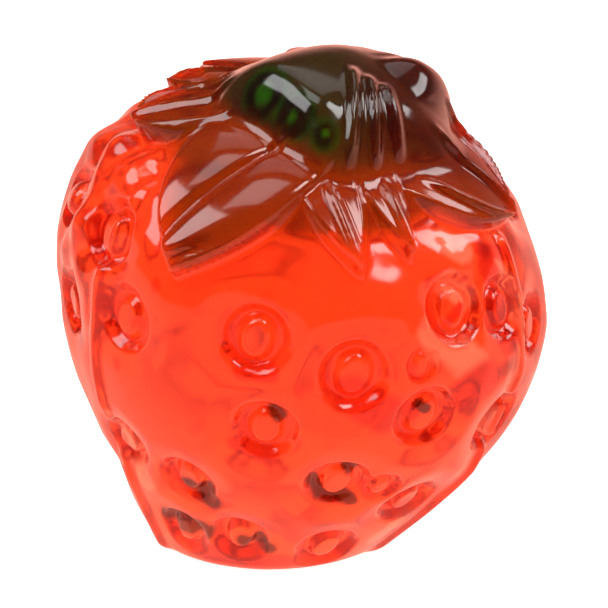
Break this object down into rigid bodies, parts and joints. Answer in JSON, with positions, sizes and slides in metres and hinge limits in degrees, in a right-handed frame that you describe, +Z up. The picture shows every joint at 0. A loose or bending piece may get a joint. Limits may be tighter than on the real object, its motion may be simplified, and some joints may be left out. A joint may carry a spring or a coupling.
{
  "type": "gummy strawberry",
  "caption": "Moulded gel sweet in the form of a strawberry: a clear red berry with seeded craters and a dark green leafy crown, standing on its cut tip.",
  "frame": {"origin": "centre of the bounding box at the flat foot, on the surface it stands on", "axes": "+Z up towards the crown, -Y towards the camera, +X to the camera's right, the way the crown leans"},
  "size_m": [0.0252, 0.0254, 0.0273],
  "materials": {
    "red_gel": "glossy clear red gel",
    "green_gel": "glossy clear dark green gel"
  },
  "bodies": {
    "root": {"berry": "red_gel", "calyx": "green_gel"}
  },
  "joints": []
}
